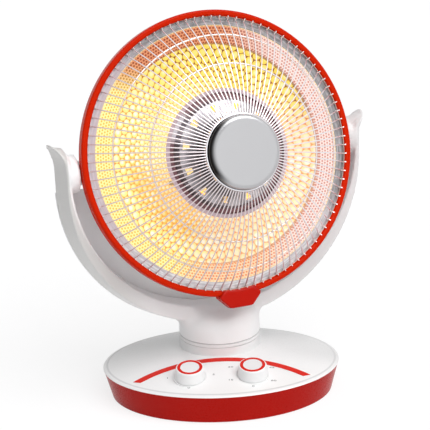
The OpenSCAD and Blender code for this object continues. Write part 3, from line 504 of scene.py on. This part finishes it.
def flange_tone(n, x, y, r, a):
    """Plain flange with painted reflections: streaked where it mirrors the rim, pale pink on one side and bright
    at the bottom.
    """
    sweep = n.vector(n.math("MULTIPLY", a, 9.0), n.math("MULTIPLY", r, 0.45), 0.0)
    streak = n.step(n.noise(1.0, 2.0, sweep), 0.35, 0.70)
    grey = n.mix(streak, lin((136, 136, 138)), lin((182, 181, 184)))
    pale = n.mix(n.math("MULTIPLY", streak, 0.5), lin((200, 188, 196)), lin((224, 216, 220)))
    flange = n.mix(n.step(n.math("ADD", x, y), -0.03, 0.09), pale, grey)
    bright = n.mix(streak, lin((190, 188, 192)), lin((232, 232, 234)))
    return n.mix(n.step(y, -0.06, -0.13), flange, bright)


def reflector_material():
    """Pressed sheet with the heater's light painted on it as its own glow: honeycomb, band of dots and a plain
    flange.
    """
    n = Nodes("reflector_sheet")
    x, y, _ = n.xyz(HEAD)
    r = n.math("MULTIPLY", n.length(x, y), 1 / MM)
    a = n.math("ARCTAN2", y, x)
    cells, edge = honeycomb_tone(n, x, y, r, a)
    band = band_tone(n, x, y, r, a)
    flange = flange_tone(n, x, y, r, a)
    # painted shade on the wall between the bowl and the band, and a painted highlight on the lip of the flange
    wall = n.math("MULTIPLY", n.step(r, BOWL_R - 2.6, BOWL_R - 2.0),
                  n.step(r, BOWL_R - 0.9, BOWL_R - 1.2))
    in_band = n.step(r, BOWL_R - 1.7, BOWL_R - 1.2)
    colour = n.mix(in_band, cells, band)
    colour = n.mix(n.math("MULTIPLY", wall, 0.7), colour, n.mix(0.5, edge, lin((110, 70, 74))))
    on_flange = n.step(r, FLANGE_IN_R - 0.3, FLANGE_IN_R + 0.3)
    lip = n.math("MULTIPLY", n.step(r, FLANGE_IN_R - 1.4, FLANGE_IN_R - 0.5),
                 n.step(r, FLANGE_IN_R + 0.5, FLANGE_IN_R))
    colour = n.mix(n.math("MULTIPLY", lip, 0.6), colour, lin((255, 236, 170)))
    # painted glow: the sheet's emission stands in for the heater's light that it reflects
    painted_glow = n.math("SUBTRACT", 1.0, on_flange)
    base_c = n.mix(on_flange, n.mix(0.5, lin((0, 0, 0)), colour), flange)
    n.bsdf(Base_Color=base_c, Metallic=n.math("MULTIPLY", on_flange, 0.5), Roughness=0.35,
           Specular_IOR_Level=0.15, Emission_Color=colour, Emission_Strength=n.math("MULTIPLY", painted_glow, 0.72))
    return n.mat


def make_reflector():
    """The dish as one closed sheet, with the honeycomb pressed into its front."""
    mat = reflector_material()
    around = CELLS * CELL_SPAN
    rows = []
    # front surface from the flange in to the hole
    rows += [(REFLECTOR_R, 0.0), (FLANGE_IN_R, 0.0)]
    for t in np.linspace(0, 1, 5)[1:]:
        rows.append((FLANGE_IN_R + (BOWL_R - FLANGE_IN_R) * t, -BAND_DROP * t))
    rows.append((BOWL_R - 0.6, -BAND_DROP - 1))
    rows.append((BOWL_R - 1.6, -BAND_DROP - BOWL_STEP + 0.6))
    steps = int(math.log(CELL_TOP / BOWL_HOLE_R) / ROW * ROW_SPAN)
    first = len(rows)
    for i in range(steps + 1):
        r = CELL_TOP * (BOWL_HOLE_R / CELL_TOP) ** (i / steps)
        rows.append((r, float(bowl_z(r))))
    last = len(rows)
    rows = np.array(rows)
    a = np.arange(around) * TAU / around
    rr = np.repeat(rows[None, :, 0], around, 0)
    zz = np.repeat(rows[None, :, 1], around, 0)
    d = cell_distance(rr[:, first:last], a[:, None])
    fade = np.clip((rr[:, first:last] - RELIEF_FROM) / RELIEF_FADE, 0, 1)
    zz[:, first:last] += RELIEF * fade * (rr[:, first:last] / CELL_TOP) * (1 - np.clip(d, 0, 1.1) ** 2)
    x = rr * np.cos(a)[:, None]
    y = rr * np.sin(a)[:, None]
    front = np.stack([x, y, zz], -1)
    back_rows = [(BOWL_HOLE_R, float(bowl_z(BOWL_HOLE_R)) - SHEET)]
    for r in np.linspace(BOWL_HOLE_R, CELL_TOP, 14)[1:]:
        back_rows.append((r, float(bowl_z(r)) - SHEET))
    back_rows += [(BOWL_R, -BAND_DROP - BOWL_STEP - SHEET), (BOWL_R + 0.4, -BAND_DROP - SHEET),
                  (FLANGE_IN_R, -SHEET), (REFLECTOR_R, -SHEET)]
    br = np.array(back_rows)
    back = np.stack([np.outer(np.cos(a), br[:, 0]), np.outer(np.sin(a), br[:, 0]),
                     np.repeat(br[None, :, 1], around, 0)], -1)
    grid = np.concatenate([front, back], 1)
    m = grid.shape[1]
    i = np.arange(around)[:, None]
    k = np.arange(m)[None, :]
    j = (i + 1) % around
    q = (k + 1) % m
    faces = np.stack([i * m + k, i * m + q, j * m + q, j * m + k], -1).reshape(-1, 4)
    ob = add("reflector_dish", grid.reshape(-1, 3) * MM, faces.tolist(), HEAD, mat, "head", 40.0)
    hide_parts("reflector")


make_reflector()


# Arms of the yoke, in its own frame: TIP_ is the leaf at their top, OLD_ the plain flare of the solids there
YOKE_FRONT = -22.0
YOKE_DEPTH = 34.0
TIP_FROM = 312.0
TIP_FRONT_Z = 333.0
TIP_PEAK_Z = (351.0, 342.5)
TIP_BACK_DROP = 9.0
TIP_PEAK_Y = 3.0
TIP_FLARE = 10.5
TIP_CURVE = 2.2
TIP_THIN = 0.72
TIP_ROUND = 0.98
OLD_FRONT_Z = 329.5
OLD_RISE = 17.0
OLD_FLARE_FROM = 332.5
OLD_FLARE = 5.0
OLD_FLARE_H = 14.0
VOXEL = 1.7 * MM
BLEND_Z = (92, 150)
BLEND_R = 82
BLEND_HOLLOW = 0.12
BLEND_PASSES = 260
BLEND_STEP = 0.6


def neighbours(mesh, count):
    """Both ends of every edge, and the number of edges at each vertex."""
    edges = np.empty(len(mesh.edges) * 2, int)
    mesh.edges.foreach_get("vertices", edges)
    edges = edges.reshape(-1, 2)
    a = np.concatenate([edges[:, 0], edges[:, 1]])
    b = np.concatenate([edges[:, 1], edges[:, 0]])
    degree = np.maximum(np.bincount(a, minlength=count), 1)
    return a, b, degree


def spread(values, a, b, degree):
    """Mean over the neighbours of each vertex."""
    if values.ndim == 1:
        return np.bincount(a, values[b], len(degree)) / degree
    sums = [np.bincount(a, values[b, k], len(degree)) for k in range(values.shape[1])]
    return np.stack(sums, 1) / degree[:, None]


def shape_tips(v):
    """Bend the arm tips outward into thin flared leaves; v in the yoke's frame, millimetres."""
    x, y, z = np.abs(v[:, 0]), v[:, 1], v[:, 2]
    arm = (x > ARM_IN_X - 1.5) & (z > TIP_FROM)
    depth = np.clip((y - YOKE_FRONT) / YOKE_DEPTH, 0, 1)
    old_top = OLD_FRONT_Z + OLD_RISE * depth
    old_out = OLD_FLARE * np.clip((z - OLD_FLARE_FROM) / OLD_FLARE_H, 0, 1.1)
    thick = ARM_T + ARM_T_MORE * depth
    ahead = np.clip((TIP_PEAK_Y - y) / (TIP_PEAK_Y - YOKE_FRONT), 0, 1)
    behind = np.clip((y - TIP_PEAK_Y) / (YOKE_FRONT + YOKE_DEPTH - TIP_PEAK_Y), 0, 1)
    peak = np.where(v[:, 0] < 0, *TIP_PEAK_Z)
    new_top = peak - np.where(y < TIP_PEAK_Y,
                              (peak - TIP_FRONT_Z) * (1 - np.sqrt(1 - ahead ** 2 * TIP_ROUND)),
                              TIP_BACK_DROP * (1 - np.sqrt(1 - behind ** 2 * TIP_ROUND)))
    new_z = TIP_FROM + (z - TIP_FROM) * (new_top - TIP_FROM) / (old_top - TIP_FROM)
    t = np.clip((new_z - TIP_FROM - 4) / (peak - TIP_FROM - 4), 0, 1.05)
    out = TIP_FLARE * t ** TIP_CURVE
    across = np.clip((x - old_out - ARM_IN_X) / thick, 0, 1.1)
    new_thick = thick * (1 - TIP_THIN * t ** 2)
    new_x = ARM_IN_X + thick + out - (1 - across) * new_thick
    blend = np.clip((z - TIP_FROM) / 4.0, 0, 1)
    keep = x < ARM_IN_X - 0.2
    blend = np.where(keep, blend * 0.5, blend)
    v[arm, 0] = (np.sign(v[:, 0]) * (x + (new_x - x) * blend))[arm]
    v[arm, 2] = new_z[arm]
    return v


def make_yoke():
    """The yoke's shell as one moulding: flared tips, rounded edges and a neck that flows into the arms."""
    ob = bpy.data.objects.new("yoke_moulding", frame["nodes"]["yoke_shell"].data.copy())
    bpy.context.scene.collection.objects.link(ob)
    remesh = ob.modifiers.new("remesh", "REMESH")
    remesh.mode = "VOXEL"
    remesh.voxel_size = VOXEL
    bpy.context.view_layer.update()
    graph = bpy.context.evaluated_depsgraph_get()
    mesh = bpy.data.meshes.new_from_object(ob.evaluated_get(graph))
    mesh.name = "yoke_moulding"
    ob.modifiers.clear()
    ob.data = mesh
    count = len(mesh.vertices)
    v = np.empty(count * 3)
    mesh.vertices.foreach_get("co", v)
    turn = np.array(YOKE.to_3x3())
    v = v.reshape(-1, 3) @ turn / MM
    normal = np.empty(count * 3)
    mesh.vertices.foreach_get("normal", normal)
    normal = normal.reshape(-1, 3) @ turn
    a, b, degree = neighbours(mesh, count)
    # the hollow corner between the neck and the arms, where the two surfaces are blended
    bend = ((spread(v, a, b, degree) - v) * normal).sum(1)
    about = np.hypot(v[:, 0], v[:, 1])
    outside = (about > 50.0) | (v[:, 2] > 113.0) | (v[:, 1] < -20.0)
    zone = (v[:, 2] > BLEND_Z[0]) & (v[:, 2] < BLEND_Z[1]) & (about < BLEND_R) & (v[:, 1] < 30) & outside
    weight = ((bend > BLEND_HOLLOW) & zone).astype(float)
    for i in range(9):
        weight = np.maximum(weight, spread(weight, a, b, degree) * 1.25)
    weight = np.clip(weight, 0, 1) * ((v[:, 2] > 84) & (v[:, 2] < 165))
    for i in range(4):
        weight = spread(weight, a, b, degree)
    for i in range(BLEND_PASSES):
        v += (spread(v, a, b, degree) - v) * weight[:, None] * BLEND_STEP
    for i in range(3):
        v += (spread(v, a, b, degree) - v) * 0.5
        v -= (spread(v, a, b, degree) - v) * 0.52
    v = shape_tips(v)
    mesh.vertices.foreach_set("co", (v @ turn.T * MM).ravel())
    mesh.polygons.foreach_set("use_smooth", [True] * len(mesh.polygons))
    mesh.update()
    mesh.materials.clear()
    mesh.materials.append(YOKE_WHITE)
    bpy.context.view_layer.update()
    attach(ob, "neck")
    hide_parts("yoke_shell")


CLASP_TOP = 41.0


def make_clasp():
    """Spring clasp: a bevelled plate hooked over the rim's front."""
    upper = [(x, -math.sqrt((RIM_IN_R + 0.3) ** 2 - x * x))
             for x in np.linspace(-CLASP_TOP / 2, CLASP_TOP / 2, 9)]
    side_y = -math.sqrt((RIM_R + 0.5) ** 2 - (CLASP_W / 2) ** 2)
    foot_y = -RIM_R - CLASP_H
    down = [(CLASP_W / 2, side_y), (CLASP_W / 2 - 1, side_y - 3.5), (CLASP_FOOT / 2 + 1.5, foot_y + 0.8),
            (CLASP_FOOT / 2 - 2, foot_y)]
    outline = upper + down + [(-x, y) for x, y in reversed(down)]
    mid = np.array((0.0, (upper[4][1] + foot_y) / 2))
    layers = [(RIM_FRONT + 0.6, 0.0), (RIM_FRONT + 3.4, 0.0), (RIM_FRONT + 4.0, 0.7), (RIM_FRONT + 4.4, 1.8),
              (RIM_FRONT + 4.6, 5.0)]
    verts = []
    count = len(outline)
    for z, inset in layers:
        for q in outline:
            v = np.array(q) - mid
            reach = np.abs(v) / np.array((CLASP_W / 2, CLASP_H))
            q2 = mid + v * (1 - inset / max(float(np.hypot(*v)), 1.0) * float(reach.max()) ** 0.5)
            verts.append((q2[0] * MM, q2[1] * MM, z * MM))
    faces = [tuple(reversed(range(count))), tuple(range((len(layers) - 1) * count, len(layers) * count))]
    for k in range(len(layers) - 1):
        for i in range(count):
            j = (i + 1) % count
            faces.append((k * count + i, k * count + j, (k + 1) * count + j, (k + 1) * count + i))
    add("clasp_plate", verts, faces, HEAD, CLASP, "head", 35.0)


def tube(path, radius, sides=8):
    """Closed tube round a path of points, as vertices and faces."""
    path = np.array(path, float)
    way = np.gradient(path, axis=0)
    way /= np.linalg.norm(way, axis=1)[:, None]
    across = np.cross(way, (0, 0, 1.0))
    across /= np.linalg.norm(across, axis=1)[:, None]
    up = np.cross(across, way)
    a = np.arange(sides) * TAU / sides
    ringed = (path[:, None] + radius * (np.cos(a)[None, :, None] * across[:, None]
                                        + np.sin(a)[None, :, None] * up[:, None]))
    faces = [tuple(range(sides)), tuple(reversed(range((len(path) - 1) * sides, len(path) * sides)))]
    for k in range(len(path) - 1):
        for i in range(sides):
            j = (i + 1) % sides
            faces.append((k * sides + i, (k + 1) * sides + i, (k + 1) * sides + j, k * sides + j))
    return ringed.reshape(-1, 3), faces


HOOK_R = 0.75


def make_hooks():
    """Bent ends of the grille wires, which grip the rim's front lip."""
    profile = [(WIRE_BASE_R - 1.4, WIRE_BASE_Z + 1.0), (WIRE_BASE_R - 0.5, WIRE_BASE_Z + 3.6),
               (WIRE_BASE_R + 0.3, RIM_FRONT - 0.4), (WIRE_BASE_R + 1.2, RIM_FRONT + 0.5),
               (WIRE_BASE_R + 2.4, RIM_FRONT + 0.7)]
    verts = []
    faces = []
    for i in range(WIRE_COUNT):
        a = TAU * i / WIRE_COUNT
        v, f = tube([(r * math.cos(a), r * math.sin(a), z) for r, z in profile], HOOK_R)
        faces += [tuple(k + len(verts) for k in q) for q in f]
        verts += (v * MM).tolist()
    add("wire_hooks", verts, faces, HEAD, WIRE, "head", 40.0)


def guard_material():
    """Guard of the element: a painted dark reflection in the groove of its edge with one painted glint, a
    painted pink reflection on its flange, rays on the face and a painted shadow beside the cap.
    """
    n = Nodes("guard_metal")
    x, y, _ = n.xyz(HEAD)
    r = n.math("MULTIPLY", n.length(x, y), 1 / MM)
    a = n.math("ARCTAN2", y, x)
    groove = n.math("MULTIPLY", n.step(r, GUARD_R - 11.6, GUARD_R - 10.8),
                    n.step(r, GUARD_R - 4.4, GUARD_R - 5.4))
    painted_glint = n.step(n.math("ABSOLUTE", n.math("SUBTRACT", a, 2.55)), 0.35, 0.15)
    # painted reflection: the groove dark, with one painted glint
    dark = n.mix(n.step(y, 0.02, 0.06), lin((128, 92, 98)), lin((150, 116, 122)))
    dark = n.mix(painted_glint, dark, lin((226, 220, 226)))
    # painted reflection: the flange pink
    flange = n.step(r, GUARD_R - 5.0, GUARD_R - 4.6)
    # painted shadow beside the cap, on one side
    shady = n.step(n.math("COSINE", n.math("SUBTRACT", a, 3.35)), -0.10, 0.45)
    painted_cap_shadow = n.math("MULTIPLY", n.step(r, 65.0, 50.0), shady)
    ray = n.noise(1.0, 2.0, n.vector(n.math("MULTIPLY", a, 11.0), n.math("MULTIPLY", r, 0.04), 0.0))
    face = n.mix(n.step(ray, 0.38, 0.62), lin((150, 146, 152)), lin((206, 203, 208)))
    face = n.mix(n.math("MULTIPLY", painted_cap_shadow, 0.80), face, lin((50, 46, 49)))
    colour = n.mix(groove, n.mix(flange, face, lin((206, 184, 192))), dark)
    n.bsdf(Base_Color=colour, Metallic=0.7, Roughness=0.30)
    return n.mat


GUARD = guard_material()

USES = {
    COVER: "top_cover",
    YOKE_WHITE: "yoke_shell",
    WHITE: "yoke_rear_cover pivot_hubs swivel_plate terminal_cover power_knob timer_knob",
    WHITE_PART: "swivel_bush slip_washer terminal_block power_knob_cap timer_knob_cap",
    REAR: "rear_housing",
    SKIRT: "base_pan",
    RIM: "rim_ring",
    CLASP: "rim_clasp",
    TRIM: "accent_stripe power_knob_ring timer_knob_ring",
    STEEL: "pan_screws swing_crank swing_link swing_arm swivel_spindle yoke_screws pivot_pins clasp_screw "
           "terminal_screws guard_post element_clips switch_nuts power_shaft timer_shaft swing_motor "
           "retaining_clip",
    WIRE: "grille_wires",
    RING: "grille_rings",
    CHROME: "cap_bezel",
    CAP: "grille_cap",
    GUARD: "element_guard",
    DARK: "power_switch timer_switch tip_switch tip_plunger cord_gland pivot_washers thermal_cutout",
    RUBBER: "base_feet",
    IRON: "ballast_weights",
    CERAMIC: "tube_ends",
    glass(): "heating_tube",
    glow(): "filament",
}


MARK_SIZE = 5.2
MARK_THICK = 0.04
MARK_STRETCH = (1.4, 0.8)


def make_marks():
    """Plain numbers printed round the two knobs, each with its side and its place beside the knob's middle."""
    cover = frame["nodes"]["top_cover"]
    ink = plastic("mark_ink", (96, 96, 98), 0.6, gloss=0.2)
    labels = [(-1, -29.0, 4.0, "1"), (-1, 29.4, 2.0, "2"), (-1, -2.0, -21.5, "0"),
              (1, -27.7, 17.5, "30"), (1, 24.8, 17.0, "45"), (1, -28.4, -11.0, "15"), (1, 25.5, -11.5, "60"),
              (1, -0.6, -24.0, "0")]
    for i, (side, dx, dy, text) in enumerate(labels):
        x = side * KNOB_X + dx
        y = -KNOB_Y + dy
        _, place, normal, _ = cover.ray_cast(Vector((x * MM, y * MM, 0.2)), Vector((0, 0, -1)))
        curve = bpy.data.curves.new("mark_%d" % i, "FONT")
        curve.body = text
        curve.size = MARK_SIZE * MM
        curve.align_x = "CENTER"
        curve.align_y = "CENTER"
        curve.extrude = MARK_THICK * MM
        ob = bpy.data.objects.new("mark_%d" % i, curve)
        bpy.context.scene.collection.objects.link(ob)
        turn = Vector((0, 0, 1)).rotation_difference(normal).to_matrix().to_4x4()
        ob.matrix_world = (Matrix.Translation(place + normal * 0.05 * MM) @ turn
                           @ Matrix.Diagonal((*MARK_STRETCH, 1, 1)))
        curve.materials.append(ink)
        bpy.context.view_layer.update()
        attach(ob, "base")


def paint():
    """Each of the frame's nodes gets its material."""
    for mat, names in USES.items():
        for name in names.split():
            ob = frame["nodes"][name]
            if not ob.material_slots:
                ob.data.materials.append(mat)
            for slot in ob.material_slots:
                slot.material = mat


make_yoke()
make_clasp()
make_hooks()
make_marks()
paint()


# ---------------------------------------------------------------- stage
FLOOR_HALF = 6.0
FLOOR_VEIL = 0.79
WORLD_LIGHT = 0.28
WORLD_SHOWN = 1.0


def backdrop_mix(tree, lit, shown):
    """The shown shader for rays that see the background, the lit one for the light on the object."""
    path = tree.nodes.new("ShaderNodeLightPath")
    seen = None
    for name in ("Is Camera Ray", "Is Glossy Ray", "Is Transmission Ray"):
        if seen is None:
            seen = path.outputs[name]
        else:
            either = tree.nodes.new("ShaderNodeMath")
            either.operation = "MAXIMUM"
            tree.links.new(seen, either.inputs[0])
            tree.links.new(path.outputs[name], either.inputs[1])
            seen = either.outputs[0]
    mix = tree.nodes.new("ShaderNodeMixShader")
    tree.links.new(seen, mix.inputs[0])
    tree.links.new(lit, mix.inputs[1])
    tree.links.new(shown, mix.inputs[2])
    return mix.outputs[0]


def floor():
    """White ground: seen nearly white, with its real tone in the light that it sends to the object."""
    mesh = bpy.data.meshes.new("floor")
    s = FLOOR_HALF
    mesh.from_pydata([(-s, -s, 0), (s, -s, 0), (s, s, 0), (-s, s, 0)], [], [(0, 1, 2, 3)])
    ob = bpy.data.objects.new("floor", mesh)
    bpy.context.scene.collection.objects.link(ob)
    n = Nodes("floor")
    real = n.node("BsdfDiffuse", Color=lin((238, 238, 239)))
    faint = n.node("BsdfDiffuse", Color=lin((132, 132, 133)))
    veil = n.node("Emission", Color=(1, 1, 1, 1), Strength=FLOOR_VEIL)
    both = n.node("AddShader")
    n.put(both.inputs[0], faint.outputs[0])
    n.put(both.inputs[1], veil.outputs[0])
    n.put(n.out.inputs[0], backdrop_mix(n.tree, real.outputs[0], both.outputs[0]))
    mesh.materials.append(n.mat)


def sun(name, toward, strength, angle, tint=(255, 255, 255)):
    """A wide, soft lamp that lights everything from one side; toward points at it."""
    data = bpy.data.lights.new(name, "SUN")
    data.energy = strength * math.pi
    data.angle = math.radians(angle)
    data.color = lin(tint)[:3]
    ob = bpy.data.objects.new(name, data)
    bpy.context.scene.collection.objects.link(ob)
    ob.location = Vector(toward) * 2
    ob.rotation_euler = Vector(toward).to_track_quat("Z", "Y").to_euler()


def world():
    """Plain white surroundings, weaker as a lamp than as seen."""
    w = bpy.data.worlds.new("studio")
    bpy.context.scene.world = w
    w.use_nodes = True
    t = w.node_tree
    t.nodes.clear()
    out = t.nodes.new("ShaderNodeOutputWorld")
    light = t.nodes.new("ShaderNodeBackground")
    light.inputs[0].default_value = (1, 1, 1, 1)
    light.inputs[1].default_value = WORLD_LIGHT
    shown = t.nodes.new("ShaderNodeBackground")
    shown.inputs[0].default_value = (1, 1, 1, 1)
    shown.inputs[1].default_value = WORLD_SHOWN
    t.links.new(backdrop_mix(t, light.outputs[0], shown.outputs[0]), out.inputs[0])


floor()
world()
sun("key", (0.36, -0.42, 0.83), 0.79, 50)
sun("front_fill", (0.05, -0.98, 0.10), 0.17, 70)

scene = bpy.context.scene
scene.view_settings.view_transform = "Standard"
scene.view_settings.look = "None"
